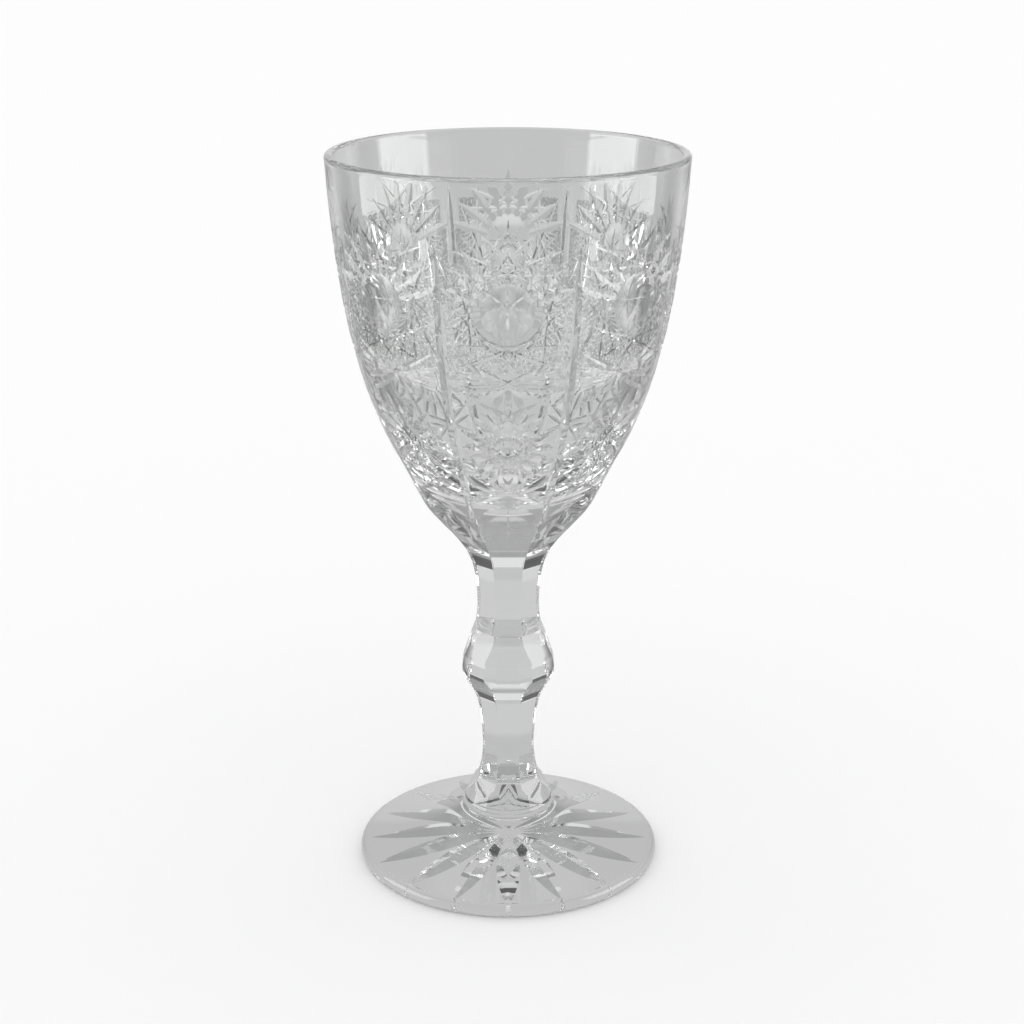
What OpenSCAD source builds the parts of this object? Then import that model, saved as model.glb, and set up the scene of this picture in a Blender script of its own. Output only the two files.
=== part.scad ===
// Cut crystal wine glass: a stemmed goblet with an eight-panelled bowl.
// Millimetres, +Z up, origin at the centre of the foot's flat underside.
// Six pieces of glass, each joined to the next one face to face.

/* [Heights] */
// Height of the lip above the table
lip_z = 170; // [165:1:175]
// Height of the joint between the bowl and the upper stem
bowl_joint_z = 83.4; // [82.5:0.1:84.5]
// Height of the joint between the upper stem and the knop
shoulder_z = 58.3; // [57.5:0.1:59]
// Height of the joint between the knop and the lower stem
knop_joint_z = 41; // [40.5:0.1:41.5]
// Height of the joint between the lower stem and the collar
collar_joint_z = 19.9; // [19.5:0.1:20.3]
// Height of the joint between the collar and the foot
foot_joint_z = 11.7; // [11.2:0.1:12]

/* [Bowl] */
// Outer radius at the lip
lip_r = 40.4; // [39.5:0.1:41]
// Thickness of the wall at the lip
lip_wall = 2.1; // [1.9:0.1:2.4]
// Height of the lowest point of the cavity
cavity_z = 93.5; // [93:0.1:95]
// Height of the centres of the round lens cuts
lens_z = 142; // [140:0.1:144]
// Radius of each lens cut, on the glass
lens_r = 5.7; // [5:0.1:6.2]

/* [Vertical mitre cuts] */
// Height of the pointed upper end
groove_top_z = 156; // [153:1:158]
// Height of the lower end, between two base facets
groove_bottom_z = 85.5; // [85:0.5:86.5]
// Depth of the cut at its middle
groove_depth = 0.65; // [0.5:0.05:0.9]

/* [Stem] */
// Half the width across flats where the bowl and stem meet
ridge_w = 13.1; // [12.8:0.1:13.4]
// Half the width across flats at the upper stem's waist
upper_waist_w = 7.2; // [6.8:0.1:7.6]
// Half the width across flats of the shoulder, over the knop
shoulder_w = 7.8; // [7.6:0.1:8]
// Half the width of the knop, at its widest
knop_w = 10.9; // [10.6:0.1:11.2]
// Half the width across flats at the joint under the knop
knop_joint_w = 7.4; // [7.2:0.1:7.6]
// Half the width across flats at the lower stem's waist
lower_waist_w = 6.05; // [5.8:0.05:6.3]

/* [Foot] */
// Half the width across flats at the top of the collar
collar_top_w = 7.1; // [6.9:0.1:7.3]
// Radius of the collar, at its widest
collar_r = 10.9; // [10.7:0.1:11.1]
// Radius of the joint between the collar and the foot
foot_joint_r = 10.4; // [10.2:0.1:10.6]
// Radius of the foot
foot_r = 36; // [35:0.5:37]
// Thickness of the foot near its edge
foot_edge = 3.3; // [3:0.1:3.6]

/* [Star under the foot] */
// Number of rays
ray_count = 16; // [12:2:16]
// Distance of each ray's inner tip from the centre
ray_start = 3; // [3:0.5:4]
// Distance of each ray's outer tip from the centre
ray_end = 33.3; // [31:0.1:33.5]
// Depth of a ray at its middle
ray_depth = 1.5; // [1:0.1:1.6]

/* [Hidden] */
$fn = 96;

sides = 8;
panel_angle = 360 / sides;
curve_steps = 14;
groove_lean = 32;
ray_lean = 29;
far = 60;

glass = [0.80, 0.83, 0.84, 0.45];
stem_glass = [0.76, 0.80, 0.82, 0.55];

// Point at t, from 0 to 1, along a Bezier curve with four control points
function bezier(p, t) =
    pow(1 - t, 3) * p[0] + 3 * t * pow(1 - t, 2) * p[1]
    + 3 * t * t * (1 - t) * p[2] + pow(t, 3) * p[3];

function curve(p, steps = curve_steps) = [for (i = [0 : steps]) bezier(p, i / steps)];

// Points of an arc about a centre, from one angle to another
function arc(centre, radius, from, to, steps = 8) =
    [for (i = [0 : steps])
        let (a = from + (to - from) * i / steps)
        centre + radius * [cos(a), sin(a)]];

// Depth of a wheel cut at t along it: nothing at both ends, full in the middle.
// A higher power gives a cut that stays deep for longer
function cut_depth(full, t, power = 2) = full * (1 - pow(abs(2 * t - 1), power));

// Outer curve of the blown bowl, before cutting, from the joint to the lip
bowl_curve = [[18, bowl_joint_z], [22, 103], [37, 105], [lip_r, lip_z]];

// Outer radius of the blown bowl at a height
function bowl_radius(z) = lookup(z, [for (p = curve(bowl_curve)) [p.y, p.x]]);

// Eight-sided solid from a half outline, lowest point first: each point gives
// the distance from the axis to the middle of a side, and its height
module eight_sided(outline) {
    left = [for (i = [len(outline) - 1 : -1 : 0]) [-outline[i].x, outline[i].y]];
    intersection_for (k = [0 : sides / 2 - 1])
        rotate([90, 0, k * panel_angle])
            linear_extrude(height = 2 * far, center = true)
                polygon(concat(outline, left));
}

// Space that a V-edged wheel cuts. The outline lies along X, with the cut's
// floor measured towards +Z; the V's sides lean from the vertical by 90 - lean
module mitre_cut(outline, lean) {
    leaned = [for (p = outline) [p.x, p.y * cos(lean)]];
    intersection_for (side = [-1, 1])
        rotate([90 + side * lean, 0, 0])
            linear_extrude(height = far, center = true)
                polygon(leaned);
}

// Bowl before cutting: a solid of revolution with a rounded lip. Its seam is
// turned to where no cut crosses it
module bowl_blank() {
    lip_round = lip_wall / 2;
    outer = curve(bowl_curve);
    rotate(panel_angle / 4)
    rotate_extrude()
        polygon(concat(
            [[0, bowl_joint_z]],
            [for (i = [0 : curve_steps - 1]) outer[i]],
            arc([lip_r - lip_round, lip_z - lip_round], lip_round, 0, 90),
            [[0, lip_z]]));
}

// Inside of the bowl, with the inner half of the lip's rounding above it
module cavity() {
    lip_round = lip_wall / 2;
    inner_r = lip_r - lip_wall;
    rim_z = lip_z - lip_round;
    wall = curve([[0, cavity_z], [29, cavity_z], [35.6, 138], [inner_r, rim_z]]);
    rotate(panel_angle / 4)
    rotate_extrude()
        polygon(concat(
            wall,
            arc([lip_r - lip_round, rim_z], lip_round, 180, 90),
            [[lip_r - lip_round, lip_z + 1], [0, lip_z + 1]]));
}

// Eight flat facets round the base of the bowl, reaching up past the blank
module base_facets() {
    facet_top_z = 99;
    facet = curve([[ridge_w, bowl_joint_z], [16.2, 87], [19.6, 91.4],
                   [24.8, facet_top_z]]);
    eight_sided(concat(facet, [[far, facet_top_z], [far, lip_z + 1]]));
}

// Vertical mitre cut that follows the bowl, between two panels. Past its two
// ends the cut's floor lies outside the glass, and its corners are at other
// heights than the bowl's own
module vertical_groove() {
    length = groove_top_z - groove_bottom_z;
    bed = [for (p = curve(bowl_curve, curve_steps - 3))
        [p.y, cut_depth(groove_depth, (p.y - groove_bottom_z) / length, 4) - p.x]];
    rotate([0, -90, 0])
        mitre_cut(concat(bed, [[lip_z, -far], [bowl_joint_z, -far]]), groove_lean);
}

// Round concave cut in the middle of a panel, made by a ball-shaped wheel. The
// ball's surface passes through the cut's rim, on the left and on the right
module lens_cut() {
    wheel_r = 20;
    rim_x = sqrt(pow(bowl_radius(lens_z), 2) - pow(lens_r, 2));
    translate([rim_x + sqrt(pow(wheel_r, 2) - pow(lens_r, 2)), 0, lens_z])
        sphere(wheel_r);
}

// Bowl: eight base facets, eight panels with a lens cut in each
module bowl() {
    color(glass)
    difference() {
        intersection() {
            bowl_blank();
            base_facets();
        }
        cavity();
        for (k = [0 : sides - 1]) {
            rotate((k + 0.5) * panel_angle) vertical_groove();
            rotate(k * panel_angle) lens_cut();
        }
    }
}

// Upper stem: a hollow-sided shank that flares into the bowl
module upper_stem() {
    color(stem_glass)
    eight_sided(concat(
        curve([[shoulder_w, shoulder_z], [upper_waist_w, 61.5],
               [upper_waist_w - 0.1, 64], [upper_waist_w, 66.5]]),
        curve([[upper_waist_w + 0.05, 67.5], [upper_waist_w + 0.4, 76.5],
               [9.4, 78.5], [ridge_w, bowl_joint_z]])));
}

// Knop: eight long facets above, a rounded middle and a drawn-in underside
module knop() {
    roll = 6;
    edge_r = knop_w + 0.35;
    equator_z = 48.6;
    flats = concat(
        curve([[knop_joint_w, knop_joint_z], [8.1, 43.4], [9.5, 45],
               [knop_w - 0.1, 47.5]]),
        curve([[knop_w, 48.2], [knop_w, 49.2], [knop_w - 0.2, 50], [10.5, 51]]),
        [[shoulder_w, shoulder_z]]);
    color(glass)
    intersection() {
        eight_sided(flats);
        rotate_extrude()
            polygon(concat(
                [[0, knop_joint_z], [knop_joint_w + 0.9, knop_joint_z]],
                arc([edge_r - roll, equator_z], roll, -38, 28),
                [[shoulder_w + 0.9, shoulder_z], [0, shoulder_z]]));
    }
}

// Lower stem: a slimmer shank under the knop
module lower_stem() {
    color(stem_glass)
    eight_sided(concat(
        curve([[collar_top_w, collar_joint_z], [6.4, 22], [lower_waist_w, 25.5],
               [lower_waist_w, 29]]),
        curve([[lower_waist_w, 29.5], [lower_waist_w + 0.25, 35.5],
               [6.8, 38.5], [knop_joint_w, knop_joint_z]])));
}

// Collar: eight flared facets that end in a round, rolled edge
module collar() {
    widest_z = foot_joint_z + 1.7;
    roll = collar_r - foot_joint_r + 1.3;
    color(glass)
    intersection() {
        eight_sided(concat(
            [[far, foot_joint_z], [far, 12.4]],
            curve([[collar_r + 0.9, 12.6], [10.2, 15.5], [8.4, 18.2],
                   [collar_top_w, collar_joint_z]])));
        rotate_extrude()
            polygon(concat(
                [[0, foot_joint_z], [foot_joint_r, foot_joint_z]],
                arc([collar_r - roll, widest_z], roll, -62, 48),
                [[collar_top_w + 1, collar_joint_z], [0, collar_joint_z]]));
    }
}

// One ray of the star, cut upwards into the flat underside
module star_ray() {
    bed = [for (i = [0 : curve_steps])
        let (t = i / curve_steps)
        [ray_start + (ray_end - ray_start) * t, cut_depth(ray_depth, t)]];
    mitre_cut(concat(bed, [[ray_end, -6], [ray_start, -6]]), ray_lean);
}

// Foot: a shallow cone with a rounded edge and a star cut into its underside
module foot() {
    edge_round = foot_edge / 2 - 0.1;
    top = curve([[foot_joint_r, foot_joint_z], [13.2, 8.6], [22, 5.6],
                 [foot_r - edge_round, foot_edge]]);
    color(glass)
    difference() {
        rotate_extrude()
            polygon(concat(
                [[0, 0]],
                arc([foot_r - edge_round, edge_round], edge_round, -90, 90),
                [for (i = [curve_steps : -1 : 0]) top[i]],
                [[0, foot_joint_z]]));
        for (k = [0 : ray_count - 1])
            rotate(k * 360 / ray_count) star_ray();
    }
}

bowl();
upper_stem();
knop();
lower_stem();
collar();
foot();
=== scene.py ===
import math

import bmesh
import bpy
import numpy as np
from mathutils import Matrix, Vector
from mathutils.kdtree import KDTree


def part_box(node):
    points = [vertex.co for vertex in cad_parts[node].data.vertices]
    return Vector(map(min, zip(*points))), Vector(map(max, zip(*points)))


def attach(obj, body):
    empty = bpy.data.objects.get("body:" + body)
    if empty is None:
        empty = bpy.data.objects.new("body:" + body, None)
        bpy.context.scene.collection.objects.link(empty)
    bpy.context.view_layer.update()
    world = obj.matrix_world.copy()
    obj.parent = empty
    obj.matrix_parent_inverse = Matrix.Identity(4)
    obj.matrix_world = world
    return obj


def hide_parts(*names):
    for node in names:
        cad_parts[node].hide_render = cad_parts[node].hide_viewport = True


# Cut crystal wine glass. Shapes are worked out in millimetres and scaled to metres
# when a mesh is made. Each half panel is cut once, then copied round the axis.

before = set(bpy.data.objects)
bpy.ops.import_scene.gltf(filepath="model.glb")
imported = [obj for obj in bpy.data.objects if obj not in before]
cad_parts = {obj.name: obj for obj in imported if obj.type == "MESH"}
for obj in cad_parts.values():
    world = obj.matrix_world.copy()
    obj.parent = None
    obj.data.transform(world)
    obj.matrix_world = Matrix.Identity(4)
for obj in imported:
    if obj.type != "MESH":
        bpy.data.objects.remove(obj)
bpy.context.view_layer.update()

MM = 0.001
SIDES = 8
PANEL = 2 * math.pi / SIDES
HALF_PANEL = PANEL / 2

# Material slots that every mesh has, in this order.
POLISHED, JOINT, MITRE_CUT, FINE_CUT, LENS_CUT = range(5)
SLOTS = 5


def span(node):
    """Lowest and highest point of a CAD node, in millimetres."""
    low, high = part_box(node)
    return low[2] / MM, high[2] / MM


BOWL_Z, LIP_Z = span("bowl")
SHOULDER_Z = span("upper_stem")[0]
KNOP_Z = span("knop")[0]
STEM_Z = span("lower_stem")[0]
COLLAR_Z = span("collar")[0]
LIP_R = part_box("bowl")[1][0] / MM
FOOT_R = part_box("foot")[1][0] / MM

LIP_WALL = 2.1
CAVITY_Z = 93.5
RIDGE_W = 13.1
SHOULDER_W = 7.8
UPPER_WAIST_W = 7.2
KNOP_W = 10.9
KNOP_JOINT_W = 7.4
LOWER_WAIST_W = 6.05
COLLAR_TOP_W = 7.1
COLLAR_R = 10.9
FOOT_JOINT_R = 10.4
FOOT_EDGE = 3.3

# ---------------------------------------------------------------- outlines


def curve(points, steps):
    """Points along a Bezier curve with four control points (radius, height)."""
    t = np.linspace(0, 1, steps + 1)[:, None]
    p = np.array(points, float)
    return ((1 - t) ** 3 * p[0] + 3 * t * (1 - t) ** 2 * p[1]
            + 3 * t * t * (1 - t) * p[2] + t ** 3 * p[3])


def arc(centre, radius, start, end, steps):
    """Points of an arc in the (radius, height) plane, angles in degrees."""
    a = np.radians(np.linspace(start, end, steps + 1))
    return np.stack([centre[0] + radius * np.cos(a), centre[1] + radius * np.sin(a)], 1)


def outline(*stretches):
    """One list of (radius, height) points, without doubled ones."""
    points = []
    for p in np.concatenate([np.array(s, float).reshape(-1, 2) for s in stretches]):
        if not points or np.abs(points[-1] - p).max() > 1e-4:
            points.append(p)
    return points


LIP_ROUND = LIP_WALL / 2
BOWL_CURVE = curve([(18, BOWL_Z), (22, 103), (37, 105), (LIP_R, LIP_Z)], 400)


def bowl_radius(z):
    return float(np.interp(z, BOWL_CURVE[:, 1], BOWL_CURVE[:, 0]))


def bowl_normal(azimuth, z):
    """Outward normal of the blown bowl, before cutting."""
    step = 0.5
    slope = (bowl_radius(z + step) - bowl_radius(z - step)) / (2 * step)
    return Vector((math.cos(azimuth), math.sin(azimuth), -slope)).normalized()


def on_bowl(x, z):
    """Point and normal where a line square to the panel, x across it, meets the bowl.

    Panels are worked out facing +X, so x across the panel is along +Y."""
    r = bowl_radius(z)
    azimuth = math.asin(max(-1.0, min(1.0, x / r)))
    point = Vector((r * math.cos(azimuth), r * math.sin(azimuth), z))
    return point, bowl_normal(azimuth, z)


# ---------------------------------------------------------------- meshes


def solid(verts, faces, name="cutter", slot=POLISHED):
    """Mesh object from plain lists, with its normals facing out."""
    mesh = bpy.data.meshes.new(name)
    mesh.from_pydata([tuple(v) for v in verts], [], faces)
    for _ in range(SLOTS):
        mesh.materials.append(None)
    mesh.polygons.foreach_set("material_index", [slot] * len(faces))
    bm = bmesh.new()
    bm.from_mesh(mesh)
    bmesh.ops.remove_doubles(bm, verts=bm.verts, dist=1e-5)
    bmesh.ops.recalc_face_normals(bm, faces=bm.faces)
    bm.to_mesh(mesh)
    bm.free()
    obj = bpy.data.objects.new(name, mesh)
    bpy.context.collection.objects.link(obj)
    return obj


def lathe_wedge(points, angle, steps, name):
    """Closed slice of a solid of revolution, from azimuth 0 to the angle given."""
    n = len(points)
    verts = []
    for i in range(steps + 1):
        a = angle * i / steps
        verts += [(r * math.cos(a), r * math.sin(a), z) for r, z in points]
    faces = [(i * n + j, (i + 1) * n + j, (i + 1) * n + (j + 1) % n, i * n + (j + 1) % n)
             for i in range(steps) for j in range(n)]
    faces.append(tuple(range(n)))
    faces.append(tuple(steps * n + j for j in reversed(range(n))))
    return solid(verts, faces, name)


def cut_away(target, cutter):
    """Apply one boolean to the target's mesh and remove the cutter."""
    mod = target.modifiers.new("cut", "BOOLEAN")
    mod.operation = "DIFFERENCE"
    mod.solver = "MANIFOLD"
    mod.object = cutter
    graph = bpy.context.evaluated_depsgraph_get()
    mesh = bpy.data.meshes.new_from_object(target.evaluated_get(graph))
    target.modifiers.remove(mod)
    old = target.data
    target.data = mesh
    bpy.data.meshes.remove(old)
    cutter_mesh = cutter.data
    bpy.data.objects.remove(cutter)
    bpy.data.meshes.remove(cutter_mesh)


def prism(points, half_width):
    """Solid with an outline in the XZ plane, running along Y both ways."""
    n = len(points)
    verts = [(x, -half_width, z) for x, z in points] + [(x, half_width, z) for x, z in points]
    faces = [(j, (j + 1) % n, n + (j + 1) % n, n + j) for j in range(n)]
    faces.append(tuple(range(n)))
    faces.append(tuple(n + j for j in reversed(range(n))))
    return solid(verts, faces)


def outside_of(flat_outline, reach=70):
    """Cutter that leaves one flat side: everything beyond the outline's half-width."""
    low, high = flat_outline[0], flat_outline[-1]
    points = list(flat_outline) + [(reach, high[1]), (reach, low[1])]
    return prism(points, reach)


def mitre(place, start, end, depth, half_angle=58, power=2, lift=0.35, pitch=1.6,
          slot=MITRE_CUT):
    """V-shaped wheel cut along a straight line between two places on a surface.

    place(u, v) gives a point and the outward normal. The cut runs out to nothing at
    both ends; a higher power keeps it deep for longer."""
    length = math.hypot(end[0] - start[0], end[1] - start[1])
    steps = max(6, round(length / pitch))
    spread = math.tan(math.radians(half_angle))
    over = 0.03
    beds = []
    for i in range(steps + 1):
        t = -over + (1 + 2 * over) * i / steps
        u = start[0] + (end[0] - start[0]) * t
        v = start[1] + (end[1] - start[1]) * t
        point, normal = place(u, v)
        beds.append((point, normal, depth * (1 - abs(2 * t - 1) ** power)))
    verts = []
    for i, (point, normal, down) in enumerate(beds):
        ahead = beds[min(i + 1, steps)][0] - beds[max(i - 1, 0)][0]
        across = normal.cross(ahead).normalized() * (down + lift) * spread
        verts += [point - normal * down, point + normal * lift + across,
                  point + normal * lift - across]
    faces = [(i * 3 + j, i * 3 + 3 + j, i * 3 + 3 + (j + 1) % 3, i * 3 + (j + 1) % 3)
             for i in range(steps) for j in range(3)]
    faces += [(0, 1, 2), (steps * 3 + 2, steps * 3 + 1, steps * 3)]
    return solid(verts, faces, slot=slot)


def ball_cut(centre, normal, radius, ball_r, rings=14, segments=72, slot=POLISHED):
    """Round concave cut: the near cap of a ball, set so that its rim has the radius."""
    depth = ball_r - math.sqrt(ball_r ** 2 - radius ** 2)
    ball = centre + normal * (ball_r - depth)
    tilt = normal.to_track_quat("Z", "Y").to_matrix()
    top = math.radians(65)
    verts = [ball - normal * ball_r]
    for i in range(1, rings + 1):
        a = top * i / rings
        for j in range(segments):
            b = 2 * math.pi * j / segments
            local = Vector((math.sin(a) * math.cos(b), math.sin(a) * math.sin(b), -math.cos(a)))
            verts.append(ball + tilt @ local * ball_r)
    faces = [(0, 1 + j, 1 + (j + 1) % segments) for j in range(segments)]
    for i in range(rings - 1):
        base = 1 + i * segments
        faces += [(base + j, base + segments + j, base + segments + (j + 1) % segments,
                   base + (j + 1) % segments) for j in range(segments)]
    faces.append(tuple(1 + (rings - 1) * segments + j for j in range(segments)))
    return solid(verts, faces, slot=slot)


def profile_surface(points):
    """Smooth surface of revolution through closely spaced (radius, height) points.

    Gives, for a point, its distance off the surface and the outward normal there."""
    line = np.array(points, float)
    step = np.gradient(line, axis=0)
    across = np.stack([step[:, 1], -step[:, 0]], 1)
    across /= np.linalg.norm(across, axis=1)[:, None]
    tree = KDTree(len(line))
    for i, (r, z) in enumerate(line):
        tree.insert((r, z, 0), i)
    tree.balance()

    def test(p):
        r = math.hypot(p.x, p.y)
        _, i, _ = tree.find((r, p.z, 0))
        out, up = across[i]
        off = abs((r - line[i][0]) * out + (p.z - line[i][1]) * up)
        if r < 1e-6:
            return off, Vector((0, 0, 1 if up > 0 else -1))
        return off, Vector((p.x / r * out, p.y / r * out, up))
    return test


def ball_surface(centre, radius):
    """Hollow left by a ball-shaped wheel, with its normals towards the ball's centre."""
    def test(p):
        inward = centre - p
        return abs(inward.length - radius), inward.normalized()
    return test


def on_sides(face, angle, tol):
    """Does a face lie in one of a slice's two flat sides?"""
    first = all(abs(v.co.y) < tol for v in face.verts)
    turned = Vector((-math.sin(angle), math.cos(angle), 0))
    second = all(abs(v.co.dot(turned)) < tol for v in face.verts)
    return first or second


def corner_normals(bm, planes, surfaces, blend=10.0, near=0.03):
    """One normal per face corner: exact on the known smooth surfaces, and elsewhere
    the mean of the faces that meet there within the blend angle, mirrored ones too."""
    close = math.cos(math.radians(blend))
    known = {}
    for f in bm.faces:
        middle = f.calc_center_median()
        for test in surfaces:
            off, out = test(middle)
            if off < near and out.dot(f.normal) > close:
                if all(test(v.co)[0] < near for v in f.verts):
                    known[f.index] = test
                    break
    areas = [f.calc_area() for f in bm.faces]
    result = []
    for f in bm.faces:
        corners = []
        for v in f.verts:
            if f.index in known:
                normal = known[f.index](v.co)[1]
            else:
                normal = Vector((0, 0, 0))
                for g in v.link_faces:
                    if g.index in known:
                        continue
                    if g.normal.dot(f.normal) > close:
                        normal += g.normal * areas[g.index]
                    for plane, where in planes:
                        if v.index in where:
                            other = g.normal - 2 * plane * g.normal.dot(plane)
                            if other.dot(f.normal) > close:
                                normal += other * areas[g.index]
                normal = normal.normalized() if normal.length > 1e-9 else f.normal.copy()
            corners.append(normal)
        result.append(corners)
    return result


def whole_from_slice(piece, angle, surfaces=(), joints=(), matt=None):
    """Mirror and copy a slice round the axis into one closed mesh, in metres.

    joints are the heights of the flat faces where this piece meets its neighbours:
    they take the joint's slot. matt picks the parts of the first smooth surface that
    take the fine cutting's slot."""
    bm = bmesh.new()
    bm.from_mesh(piece.data)
    bmesh.ops.remove_doubles(bm, verts=bm.verts, dist=2e-4)
    bmesh.ops.dissolve_degenerate(bm, edges=bm.edges, dist=2e-4)
    tol = 2e-3
    sides = [f for f in bm.faces if on_sides(f, angle, tol)]
    bmesh.ops.delete(bm, geom=sides, context="FACES")
    turned = Vector((-math.sin(angle), math.cos(angle), 0))
    start, end = set(), set()
    bm.verts.index_update()
    for v in bm.verts:
        if abs(v.co.y) < tol:
            v.co.y = 0
            start.add(v.index)
        if abs(v.co.dot(turned)) < tol:
            v.co -= turned * v.co.dot(turned)
            end.add(v.index)
    bm.faces.index_update()
    bm.normal_update()
    if matt:
        for f in bm.faces:
            middle = f.calc_center_median()
            off, out = surfaces[0](middle)
            if off < 0.03 and out.dot(f.normal) > 0.98 and matt(middle):
                f.material_index = FINE_CUT
    normals = corner_normals(bm, ((Vector((0, 1, 0)), start), (turned, end)), surfaces)

    count = round(2 * math.pi / angle)
    verts, faces, corners, slots = [], [], [], []
    seen = {}
    for k in range(count):
        flip = k % 2
        turn = Matrix.Rotation(angle * (k + flip) - math.pi / 2, 3, "Z")
        turn = turn @ Matrix.Diagonal((1, -1 if flip else 1, 1))
        number = []
        for v in bm.verts:
            i = v.index
            if i in start and i in end:
                key = (i, "axis", 0)
            elif i in start:
                key = (i, "start", (k + 1) // 2 % (count // 2))
            elif i in end:
                key = (i, "end", k // 2)
            else:
                key = (i, "inside", k)
            if key not in seen:
                seen[key] = len(verts)
                verts.append(turn @ v.co * MM)
            number.append(seen[key])
        for f, around in zip(bm.faces, normals):
            ring = [number[v.index] for v in f.verts]
            bent = [turn @ n for n in around]
            if flip:
                ring.reverse()
                bent.reverse()
            faces.append(ring)
            corners += bent
            flat = any(all(abs(v.co.z - z) < 0.02 for v in f.verts) for z in joints)
            slots.append(JOINT if flat else f.material_index)
    bm.free()
    return set_mesh(piece, verts, faces, corners, slots)


def set_mesh(piece, verts, faces, corners, slots):
    """Give a piece its final mesh, with a normal for each face corner."""
    old = piece.data
    mesh = bpy.data.meshes.new(piece.name)
    mesh.from_pydata(verts, [], faces)
    mesh.polygons.foreach_set("use_smooth", [True] * len(faces))
    mesh.polygons.foreach_set("material_index", slots)
    mesh.normals_split_custom_set(corners)
    mesh.update()
    piece.data = mesh
    bpy.data.meshes.remove(old)
    return piece


# ---------------------------------------------------------------- bowl

LENS_Z = 142
LENS_R = 5.75
LENS_BALL = 13
CHORD_R = 7.7
CHORD_X = 12.7
CHORD_LOW = -12.8
CHORD_HIGH = 17.0
CHORD_REACH = 17.8
CHORD_COUNT = 16
HATCH_R = 8.6
HATCH_LENGTH = 4.2
HATCH_COUNT = 26
FIELD_LOW = 128.5
FIELD_HIGH = 152.5
FAN_STEP = 18
FAN_START = 4.2
NODE_Z = 125.9
LOW_STAR_Z = 110.5
LOW_STAR_R = 11.2
LOW_STAR_COUNT = 16
BUTTON_R = 3.1
BUTTON_BALL = 7
GROOVE_LOW = 84.5
GROOVE_HIGH = 156


def clip_chord(nx, nz, distance):
    """Ends of a chord at a distance from the lens's centre, square to (nx, nz).

    It is kept inside the panel and under the fan."""
    dx, dz = -nz, nx
    reach = []
    for sign in (-1, 1):
        limits = [CHORD_REACH]
        if abs(dx) > 1e-6:
            side = CHORD_X if sign * dx > 0 else -CHORD_X
            limits.append((side - nx * distance) / (sign * dx))
        if abs(dz) > 1e-6:
            level = CHORD_HIGH if sign * dz > 0 else CHORD_LOW
            limits.append((level - nz * distance) / (sign * dz))
        reach.append(min(v for v in limits if v > 0))
    back, ahead = reach
    return ((nx * distance - dx * back, LENS_Z + nz * distance - dz * back),
            (nx * distance + dx * ahead, LENS_Z + nz * distance + dz * ahead))


def in_star_field(p):
    """Is a place on the blown surface inside the finely cut field round the lens cut?"""
    away = math.hypot(p.y, p.z - LENS_Z)
    return away > CHORD_R + 0.3 and FIELD_LOW < p.z < FIELD_HIGH and p.y < CHORD_X


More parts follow.
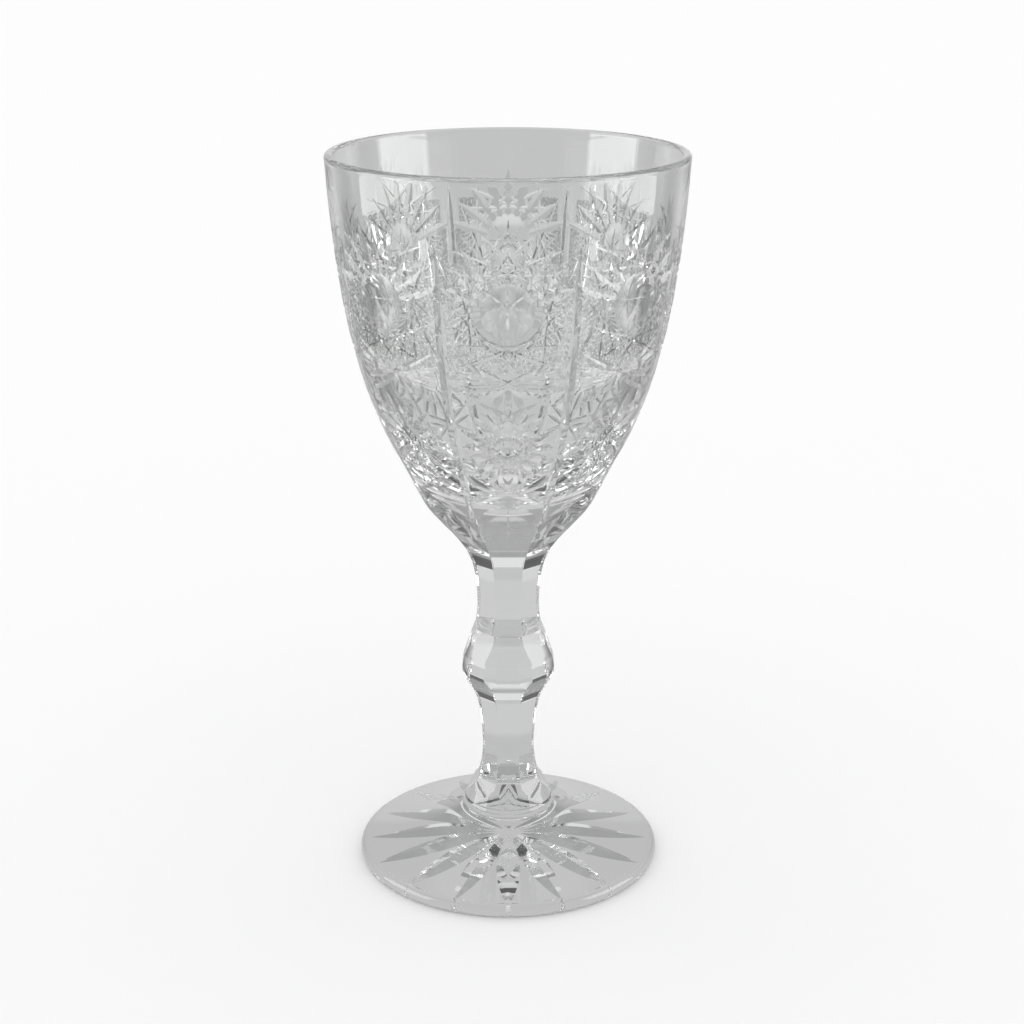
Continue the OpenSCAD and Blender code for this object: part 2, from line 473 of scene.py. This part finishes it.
def bowl_cuts():
    """Every cutter that reaches the half panel from azimuth 0 to half a panel."""
    cuts = []

    # vertical mitre cut between this panel and the next
    def along_edge(u, v):
        r = bowl_radius(v)
        point = Vector((r * math.cos(HALF_PANEL), r * math.sin(HALF_PANEL), v))
        return point, bowl_normal(HALF_PANEL, v)
    cuts.append(mitre(along_edge, (0, GROOVE_LOW), (0, GROOVE_HIGH), 0.7, power=6))

    def both(start, end, depth, **how):
        """One cut, and its mirror image across the panel's middle."""
        cuts.append(mitre(on_bowl, start, end, depth, **how))
        cuts.append(mitre(on_bowl, (-start[0], start[1]), (-end[0], end[1]), depth, **how))

    # fan of wide spikes over the lens cut
    for k in range(-4, 5):
        a = math.radians(FAN_STEP * k)
        tip = 15.4 + 2.6 * math.cos(a) ** 4
        cuts.append(mitre(on_bowl, (FAN_START * math.sin(a), LENS_Z + FAN_START * math.cos(a)),
                          (tip * math.sin(a), LENS_Z + tip * math.cos(a)), 0.62, half_angle=64))

    # fine strokes that fill the field round the lens cut
    for k in range(HATCH_COUNT):
        a = math.radians(14 + 6 * k)
        lean = a + math.radians(28)
        near = (HATCH_R * math.sin(a), LENS_Z + HATCH_R * math.cos(a))
        far = (near[0] + HATCH_LENGTH * math.sin(lean), near[1] + HATCH_LENGTH * math.cos(lean))
        cuts.append(mitre(on_bowl, near, far, 0.14, half_angle=60))

    # star of long, shallow polished cuts round the lens cut
    for k in range(CHORD_COUNT):
        a = math.radians(360 / CHORD_COUNT * k)
        start, end = clip_chord(math.cos(a), math.sin(a), CHORD_R)
        cuts.append(mitre(on_bowl, start, end, 0.36, half_angle=57, power=3, slot=POLISHED))

    # round lens cut with a fine eight-line star in it
    centre, normal = on_bowl(0, LENS_Z)
    sagitta = bowl_radius(LENS_Z) - math.sqrt(bowl_radius(LENS_Z) ** 2 - LENS_R ** 2)
    rim_centre = centre - normal * sagitta
    cuts.append(ball_cut(rim_centre, normal, LENS_R, LENS_BALL, slot=LENS_CUT))
    ball = rim_centre + normal * math.sqrt(LENS_BALL ** 2 - LENS_R ** 2)
    lenses = [ball_surface(ball, LENS_BALL)]
    up = (Vector((0, 0, 1)) - normal * normal.z).normalized()

    def in_lens(u, v):
        flat = Vector((0, u, 0)) + up * v
        inward = math.sqrt(LENS_BALL ** 2 - u * u - v * v)
        out = (flat * -1 + normal * inward).normalized()
        return ball + flat - normal * inward, out
    for k in range(4):
        a = math.radians(45 * k)
        cuts.append(mitre(in_lens, (-5 * math.cos(a), -5 * math.sin(a)),
                          (5 * math.cos(a), 5 * math.sin(a)), 0.16, power=4, pitch=0.8))

    # sheaf of cuts that cross at the panel's narrow middle
    for rise, depth in ((6.3, 0.45), (3.2, 0.38), (0.9, 0.36)):
        both((-12.0, NODE_Z + rise), (11.2, NODE_Z - rise * 0.9), depth, power=3)
    both((-11.0, NODE_Z - 5.6), (0.6, NODE_Z - 0.4), 0.6, half_angle=64)
    both((-11.2, NODE_Z - 2.2), (-1.5, NODE_Z - 0.8), 0.4)
    both((-11.6, NODE_Z + 2.4), (-2.5, NODE_Z + 0.9), 0.4)

    # lower star of sixteen spikes with a round button in its middle
    for k in range(LOW_STAR_COUNT):
        a = math.radians(360 / LOW_STAR_COUNT * k)
        tip = min(LOW_STAR_R, 10.2 / max(1e-6, abs(math.sin(a))))
        cuts.append(mitre(on_bowl, (2.6 * math.sin(a), LOW_STAR_Z + 2.6 * math.cos(a)),
                          (tip * math.sin(a), LOW_STAR_Z + tip * math.cos(a)), 0.6,
                          half_angle=64))
    centre, normal = on_bowl(0, LOW_STAR_Z)
    button = centre - normal * 0.15
    cuts.append(ball_cut(button, normal, BUTTON_R, BUTTON_BALL))
    lenses.append(ball_surface(
        button + normal * math.sqrt(BUTTON_BALL ** 2 - BUTTON_R ** 2), BUTTON_BALL))

    # crossed leaves that close the panel over the base facets
    both((8.6, 103.2), (-7.6, 95.2), 0.5, half_angle=62)
    both((8.3, 100.5), (0.5, 97.8), 0.35)
    return cuts, lenses


def make_bowl():
    rim = (LIP_R - LIP_ROUND, LIP_Z - LIP_ROUND)
    blank = outline(
        [p for p in BOWL_CURVE if p[1] < rim[1] - 0.3],
        arc(rim, LIP_ROUND, 0, 180, 30))
    cavity = curve([(LIP_R - LIP_WALL, rim[1]), (35.6, 138), (29, CAVITY_Z), (0, CAVITY_Z)], 400)
    profile = outline(
        [(0, BOWL_Z)], blank[:-31:6], blank[-31:], cavity[::7])
    piece = lathe_wedge(profile, HALF_PANEL, 12, "cut_bowl")
    facet = curve([(RIDGE_W, BOWL_Z), (16.2, 87), (19.6, 91.4), (24.8, 99)], 24)
    cut_away(piece, outside_of(outline([(RIDGE_W - 0.6, BOWL_Z - 1)], facet)))
    cutters, lenses = bowl_cuts()
    for cutter in cutters:
        cut_away(piece, cutter)
    smooth = [profile_surface(blank), profile_surface(cavity)] + lenses
    return whole_from_slice(piece, HALF_PANEL, smooth, joints=(BOWL_Z,), matt=in_star_field)


# ---------------------------------------------------------------- stem


def flat_sided(half_outline, name, corner=0.35):
    """Eight-sided shank whose corners are rounded a little, in metres.

    Each outline point is (distance from the axis to a side, height)."""
    line = np.array(half_outline, float)
    slope = np.gradient(line[:, 0], line[:, 1])
    rings, ring_normals = [], []
    for (w, z), lean in zip(line, slope):
        flat = (w - corner) * math.tan(HALF_PANEL)
        ring, outward = [], []
        for k in range(SIDES):
            side = Matrix.Rotation(PANEL * k - math.pi / 2, 3, "Z")
            for y in np.linspace(-flat, flat, 5):
                ring.append(side @ Vector((w, y, z)) * MM)
                outward.append(side @ Vector((1, 0, -lean)).normalized())
            for turn in np.linspace(0, PANEL, 5)[1:-1]:
                out = Vector((math.cos(turn), math.sin(turn), 0))
                ring.append(side @ (Vector((w - corner, flat, z)) + out * corner) * MM)
                outward.append(side @ (out - Vector((0, 0, lean))).normalized())
        rings.append(ring)
        ring_normals.append(outward)
    n = len(rings[0])
    verts = [p for ring in rings for p in ring]
    bent = [p for ring in ring_normals for p in ring]
    faces = [(i * n + j, i * n + (j + 1) % n, (i + 1) * n + (j + 1) % n, (i + 1) * n + j)
             for i in range(len(rings) - 1) for j in range(n)]
    corners = [bent[v] for f in faces for v in f]
    slots = [POLISHED] * len(faces) + [JOINT, JOINT]
    top = (len(rings) - 1) * n
    faces += [tuple(reversed(range(n))), tuple(range(top, top + n))]
    corners += [Vector((0, 0, -1))] * n + [Vector((0, 0, 1))] * n
    mesh = bpy.data.meshes.new(name)
    piece = bpy.data.objects.new(name, mesh)
    bpy.context.collection.objects.link(piece)
    return set_mesh(piece, verts, faces, corners, slots)


def make_upper_stem():
    shank = outline(
        curve([(SHOULDER_W, SHOULDER_Z), (UPPER_WAIST_W, 61.5), (UPPER_WAIST_W - 0.1, 64),
               (UPPER_WAIST_W, 66.5)], 14),
        curve([(UPPER_WAIST_W, 66.5), (UPPER_WAIST_W + 0.4, 76.5), (9.4, 78.5),
               (RIDGE_W, BOWL_Z)], 26))
    return flat_sided(shank, "stem_upper_shank")


def make_lower_stem():
    shank = outline(
        curve([(COLLAR_TOP_W, STEM_Z), (6.4, 22), (LOWER_WAIST_W, 25.5),
               (LOWER_WAIST_W, 29.2)], 14),
        curve([(LOWER_WAIST_W, 29.2), (LOWER_WAIST_W + 0.25, 35.5), (6.8, 38.5),
               (KNOP_JOINT_W, KNOP_Z)], 16))
    return flat_sided(shank, "stem_lower_shank")


def make_knop():
    edge_r = KNOP_W + 0.35
    blank = outline(
        [(0, KNOP_Z), (KNOP_JOINT_W + 0.9, KNOP_Z)],
        arc((edge_r - 6, 48.6), 6, -38, 28, 26),
        [(SHOULDER_W + 0.9, SHOULDER_Z), (0, SHOULDER_Z)])
    piece = lathe_wedge(blank, HALF_PANEL, 10, "stem_knop")
    flats = outline(
        [(KNOP_JOINT_W - 0.2, KNOP_Z - 0.5)],
        curve([(KNOP_JOINT_W, KNOP_Z), (8.1, 43.4), (9.5, 45), (KNOP_W - 0.1, 47.5)], 14),
        curve([(KNOP_W, 48.2), (KNOP_W, 49.2), (KNOP_W - 0.2, 50), (10.5, 51)], 8),
        [(SHOULDER_W, SHOULDER_Z), (SHOULDER_W - 0.2, SHOULDER_Z + 0.5)])
    cut_away(piece, outside_of(flats))
    return whole_from_slice(piece, HALF_PANEL, [], joints=(KNOP_Z, SHOULDER_Z))


def make_collar():
    roll = COLLAR_R - FOOT_JOINT_R + 1.3
    blank = outline(
        [(0, COLLAR_Z), (FOOT_JOINT_R, COLLAR_Z)],
        arc((COLLAR_R - roll, COLLAR_Z + 1.7), roll, -62, 48, 24),
        [(COLLAR_TOP_W + 1, STEM_Z), (0, STEM_Z)])
    piece = lathe_wedge(blank, HALF_PANEL, 10, "stem_collar")
    flats = outline(
        [(14.5, 12.2)],
        curve([(COLLAR_R + 0.9, 12.6), (10.2, 15.5), (8.4, 18.2), (COLLAR_TOP_W, STEM_Z)], 14),
        [(COLLAR_TOP_W - 0.2, STEM_Z + 0.5)])
    cut_away(piece, outside_of(flats))
    return whole_from_slice(piece, HALF_PANEL, [], joints=(COLLAR_Z, STEM_Z))


# ---------------------------------------------------------------- foot

RAY_COUNT = 16
RAY_START = 2.2
RAY_END = 33.3
RAY_DEPTH = 1.5


def make_foot():
    edge_round = FOOT_EDGE / 2 - 0.1
    profile = outline(
        [(0, 0)],
        arc((FOOT_R - edge_round, edge_round), edge_round, -90, 90, 24),
        curve([(FOOT_R - edge_round, FOOT_EDGE), (22, 5.6), (13.2, 8.6),
               (FOOT_JOINT_R, COLLAR_Z)], 40),
        [(0, COLLAR_Z)])
    half_ray = math.pi / RAY_COUNT
    piece = lathe_wedge(profile, half_ray, 8, "star_foot")

    def underside(turn):
        """Points along a ray cut, with the normal that faces the table."""
        def place(u, v):
            return Vector((u * math.cos(turn), u * math.sin(turn), 0)), Vector((0, 0, -1))
        return place
    for turn in (0, 2 * half_ray):
        cut_away(piece, mitre(underside(turn), (RAY_START, 0), (RAY_END, 0), RAY_DEPTH,
                              half_angle=61, pitch=1.2))
    return whole_from_slice(piece, half_ray, [], joints=(COLLAR_Z,))


# ---------------------------------------------------------------- node helpers


def math_node(tree, operation, *values):
    """Math node fed with numbers or other nodes' outputs."""
    node = tree.nodes.new("ShaderNodeMath")
    node.operation = operation
    for socket, value in zip(node.inputs, values):
        if isinstance(value, (int, float)):
            socket.default_value = value
        else:
            tree.links.new(value, socket)
    return node.outputs["Value"]


def step_between(tree, value, start, end, low, high):
    """Smooth step from low to high as a value goes from start to end."""
    node = tree.nodes.new("ShaderNodeMapRange")
    node.interpolation_type = "SMOOTHSTEP"
    node.inputs["From Min"].default_value = start
    node.inputs["From Max"].default_value = end
    for name, source in (("To Min", low), ("To Max", high)):
        if isinstance(source, (int, float)):
            node.inputs[name].default_value = source
        else:
            tree.links.new(source, node.inputs[name])
    tree.links.new(value, node.inputs["Value"])
    return node.outputs["Result"]


def noise(tree, size, detail):
    """Noise in the object's own coordinates, with grains of a size in millimetres."""
    place = tree.nodes.new("ShaderNodeTexCoord")
    node = tree.nodes.new("ShaderNodeTexNoise")
    node.inputs["Scale"].default_value = 1 / (size * MM)
    node.inputs["Detail"].default_value = detail
    tree.links.new(place.outputs["Object"], node.inputs["Vector"])
    return node.outputs["Fac"]


def bump(tree, height, depth):
    """Normals of a relief with a depth in millimetres."""
    node = tree.nodes.new("ShaderNodeBump")
    node.inputs["Strength"].default_value = 1.0
    node.inputs["Distance"].default_value = depth * MM
    tree.links.new(height, node.inputs["Height"])
    return node.outputs["Normal"]


# ---------------------------------------------------------------- materials

LEAD_CRYSTAL_IOR = 1.545


def crystal(name, waviness, wave_size, tint_and_painted_shade=0.97, milk=0.0, roughness=0.0):
    """Lead crystal with the slight waviness of hot-worked or wheel-polished glass.

    milk is the part of the light that a cut face scatters instead of passing on."""
    mat = bpy.data.materials.new(name)
    mat.use_nodes = True
    tree = mat.node_tree
    shader = tree.nodes["Principled BSDF"]
    # The base colour is the glass's faint tint; set low, as on the foot's cut faces, it is
    # painted shade.
    shader.inputs["Base Color"].default_value = (tint_and_painted_shade, tint_and_painted_shade + 0.005, tint_and_painted_shade + 0.005, 1)
    shader.inputs["Transmission Weight"].default_value = 1.0 - milk
    shader.inputs["IOR"].default_value = LEAD_CRYSTAL_IOR
    shader.inputs["Roughness"].default_value = roughness
    wave = noise(tree, wave_size, 1.5)
    tree.links.new(bump(tree, wave, waviness), shader.inputs["Normal"])
    return mat


def fine_cutting(name, grain_size):
    """Finely cut glass, left satin: grains of different roughness, a little milky."""
    mat = bpy.data.materials.new(name)
    mat.use_nodes = True
    tree = mat.node_tree
    shader = tree.nodes["Principled BSDF"]
    shader.inputs["IOR"].default_value = LEAD_CRYSTAL_IOR
    shader.inputs["Transmission Weight"].default_value = 0.6
    grain = noise(tree, grain_size, 2.0)
    rough = step_between(tree, grain, 0.35, 0.65, 0.1, 0.3)
    tree.links.new(rough, shader.inputs["Roughness"])
    tone = tree.nodes.new("ShaderNodeValToRGB")
    dark, light = tone.color_ramp.elements
    dark.position = 0.38
    dark.color = (0.6, 0.605, 0.605, 1)
    light.position = 0.55
    light.color = (0.98, 0.985, 0.985, 1)
    tree.links.new(grain, tone.inputs["Fac"])
    tree.links.new(tone.outputs["Color"], shader.inputs["Base Color"])
    tree.links.new(bump(tree, grain, 0.02), shader.inputs["Normal"])
    return mat


def fused_joint():
    """Where two pieces are fused there is no surface left to see: light goes straight on."""
    mat = bpy.data.materials.new("fused_joint")
    mat.use_nodes = True
    nodes, links = mat.node_tree.nodes, mat.node_tree.links
    nodes.remove(nodes["Principled BSDF"])
    clear = nodes.new("ShaderNodeBsdfTransparent")
    links.new(clear.outputs["BSDF"], nodes["Material Output"].inputs["Surface"])
    return mat


# ---------------------------------------------------------------- studio

# This is not a plain studio: it only looks plain to the camera. What the glass passes on
# and mirrors has a brightness that changes with direction and place, tuned for
# the main view. Stops are (degrees from straight behind the glass, brightness), the same
# on the left and on the right, with the camera at 180 degrees.
LOW_WALL = ((10, 1.0), (32, 0.1), (60, 0.3), (90, 0.6), (122, 0.5), (160, 0.45))
MID_WALL = ((10, 0.5), (32, 0.35), (60, 0.9), (90, 0.5), (122, 0.6), (160, 0.5))
HIGH_WALL = ((10, 1.0), (32, 1.0), (60, 0.1), (90, 0.08), (122, 0.08), (160, 0.08))
CEILING = 0.5
UNDER_GLASS = 0.53
NEAR_FLOOR = ((10, 0.62), (32, 0.62), (60, 0.1), (90, 0.6), (122, 0.6), (160, 0.4))
FAR_FLOOR = ((14, 0.57), (32, 0.7), (60, 0.12), (90, 0.6), (122, 0.6), (160, 0.4))


def by_direction(tree, x, y, stops):
    """Brightness for a direction or place, from (degrees from +Y, brightness) stops."""
    turned = math_node(tree, "ARCTAN2", x, y)
    part = math_node(tree, "DIVIDE", math_node(tree, "ABSOLUTE", turned), math.pi)
    ramp = tree.nodes.new("ShaderNodeValToRGB")
    ramp.color_ramp.interpolation = "EASE"
    marks = ramp.color_ramp.elements
    while len(marks) < len(stops):
        marks.new(1.0)
    for mark, (degrees, value) in zip(marks, stops):
        mark.position = degrees / 180
        mark.color = (value, value, value, 1)
    tree.links.new(part, ramp.inputs["Fac"])
    return ramp.outputs["Color"]


def split(tree, output):
    node = tree.nodes.new("ShaderNodeSeparateXYZ")
    tree.links.new(tree.nodes.new("ShaderNodeTexCoord").outputs[output], node.inputs[0])
    return node.outputs["X"], node.outputs["Y"], node.outputs["Z"]


def add_floor():
    """White floor to the camera. Every other ray meets a glowing, patterned grey card."""
    mesh = bpy.data.meshes.new("floor")
    half = 4.0
    mesh.from_pydata([(-half, -half, 0), (half, -half, 0), (half, half, 0), (-half, half, 0)],
                     [], [(0, 1, 2, 3)])
    floor = bpy.data.objects.new("floor", mesh)
    bpy.context.collection.objects.link(floor)
    mat = bpy.data.materials.new("pale_floor")
    mat.use_nodes = True
    tree = mat.node_tree
    shader = tree.nodes["Principled BSDF"]
    shader.inputs["Base Color"].default_value = (0.9, 0.9, 0.9, 1)
    shader.inputs["Roughness"].default_value = 1.0
    shader.inputs["Specular IOR Level"].default_value = 0.0
    x, y, _ = split(tree, "Object")
    away = math_node(tree, "SQRT", math_node(
        tree, "ADD", math_node(tree, "MULTIPLY", x, x), math_node(tree, "MULTIPLY", y, y)))
    card = step_between(tree, away, 0.3, 0.4, by_direction(tree, x, y, NEAR_FLOOR),
                        by_direction(tree, x, y, FAR_FLOOR))
    card = step_between(tree, away, 0.07, 0.09, UNDER_GLASS, card)
    grey = tree.nodes.new("ShaderNodeEmission")
    tree.links.new(card, grey.inputs["Strength"])
    path = tree.nodes.new("ShaderNodeLightPath")
    mix = tree.nodes.new("ShaderNodeMixShader")
    tree.links.new(path.outputs["Is Camera Ray"], mix.inputs["Fac"])
    tree.links.new(grey.outputs["Emission"], mix.inputs[1])
    tree.links.new(shader.outputs["BSDF"], mix.inputs[2])
    tree.links.new(mix.outputs["Shader"], tree.nodes["Material Output"].inputs["Surface"])
    floor.data.materials.append(mat)


def add_world():
    """White to the camera and to matt surfaces. To glass, a patterned grey surround."""
    world = bpy.data.worlds.new("studio")
    bpy.context.scene.world = world
    world.use_nodes = True
    tree = world.node_tree
    tree.nodes.clear()
    x, y, z = split(tree, "Generated")
    shade = step_between(tree, z, 0.31, 0.37, by_direction(tree, x, y, LOW_WALL),
                         by_direction(tree, x, y, MID_WALL))
    shade = step_between(tree, z, 0.68, 0.74, shade, by_direction(tree, x, y, HIGH_WALL))
    shade = step_between(tree, z, 0.92, 0.95, shade, CEILING)
    studio = tree.nodes.new("ShaderNodeBackground")
    tree.links.new(shade, studio.inputs["Strength"])
    backdrop = tree.nodes.new("ShaderNodeBackground")
    backdrop.inputs["Strength"].default_value = 1.12
    backdrop.inputs["Color"].default_value = (1, 1, 1, 1)
    path = tree.nodes.new("ShaderNodeLightPath")
    plain = math_node(tree, "MAXIMUM", path.outputs["Is Camera Ray"],
                      path.outputs["Is Diffuse Ray"])
    mix = tree.nodes.new("ShaderNodeMixShader")
    tree.links.new(plain, mix.inputs["Fac"])
    tree.links.new(studio.outputs["Background"], mix.inputs[1])
    tree.links.new(backdrop.outputs["Background"], mix.inputs[2])
    out = tree.nodes.new("ShaderNodeOutputWorld")
    tree.links.new(mix.outputs["Shader"], out.inputs["Surface"])


def softbox(name, place, aim, width, height, radiance):
    """Rectangular light of an even brightness, aimed at a point. It lights the glass only."""
    light = bpy.data.lights.new(name, "AREA")
    light.shape = "RECTANGLE"
    light.size = width
    light.size_y = height
    light.energy = radiance * math.pi * width * height
    lamp = bpy.data.objects.new(name, light)
    lamp.location = place
    lamp.rotation_euler = (Vector(aim) - Vector(place)).to_track_quat("-Z", "Y").to_euler()
    lamp.visible_diffuse = False
    bpy.context.collection.objects.link(lamp)


def add_lights():
    for name, side in (("softbox_left", -1), ("softbox_right", 1)):
        softbox(name, (0.5 * side, -0.097, 0.22), (0, -0.097, 0.22), 0.406, 0.38, 3.0)


CAMERA_PLACE = (0.0009, -0.4429, 0.2326)
CAMERA_PITCH = 18.27
CAMERA_LENS = 70.44


def add_camera():
    """Camera 443 mm in front of the glass and 233 mm up, pitched down 18 degrees."""
    data = bpy.data.cameras.new("camera")
    data.lens = CAMERA_LENS
    data.sensor_width = 36
    data.clip_start = 0.01
    camera = bpy.data.objects.new("camera", data)
    camera.location = CAMERA_PLACE
    camera.rotation_euler = (math.radians(90 - CAMERA_PITCH), 0, 0)
    bpy.context.collection.objects.link(camera)
    bpy.context.scene.camera = camera


# ---------------------------------------------------------------- assembly

add_camera()
add_world()
add_lights()
add_floor()

# The darkening of the foot's cut faces, a painted shade, and the milk of the bowl's are set for
# the look.
bowl_glass = crystal("bowl_crystal", 0.004, 9)
stem_glass = crystal("stem_crystal", 0.003, 7)
foot_glass = crystal("foot_crystal", 0.004, 12)
bowl_cut = crystal("bowl_mitre_cut", 0.006, 1.5, milk=0.25, roughness=0.02)
# Painted shade: the foot's cut faces let through only half the light.
foot_cut_painted_shade = crystal("foot_mitre_cut_painted_shade", 0.02, 2.5, tint_and_painted_shade=0.5, roughness=0.02)
fine_cut = fine_cutting("bowl_fine_cut", 0.7)
lens_cut = crystal("bowl_lens_cut", 0.002, 3, roughness=0.22)
joint = fused_joint()

for make, node, slot, glass, cut in (
        (make_bowl, "bowl", "bowl_crystal", bowl_glass, bowl_cut),
        (make_upper_stem, "upper_stem", "stem_crystal", stem_glass, None),
        (make_knop, "knop", "stem_crystal", stem_glass, None),
        (make_lower_stem, "lower_stem", "stem_crystal", stem_glass, None),
        (make_collar, "collar", "stem_crystal", stem_glass, None),
        (make_foot, "foot", "foot_crystal", foot_glass, foot_cut_painted_shade)):
    piece = make()
    for mat in (glass, joint, cut or glass, fine_cut, lens_cut):
        piece.data.materials.append(mat)
    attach(piece, "root")
    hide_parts(node)

scene = bpy.context.scene
scene.view_settings.view_transform = "Standard"
scene.cycles.max_bounces = 32
scene.cycles.transmission_bounces = 32
scene.cycles.glossy_bounces = 16
scene.cycles.transparent_max_bounces = 32
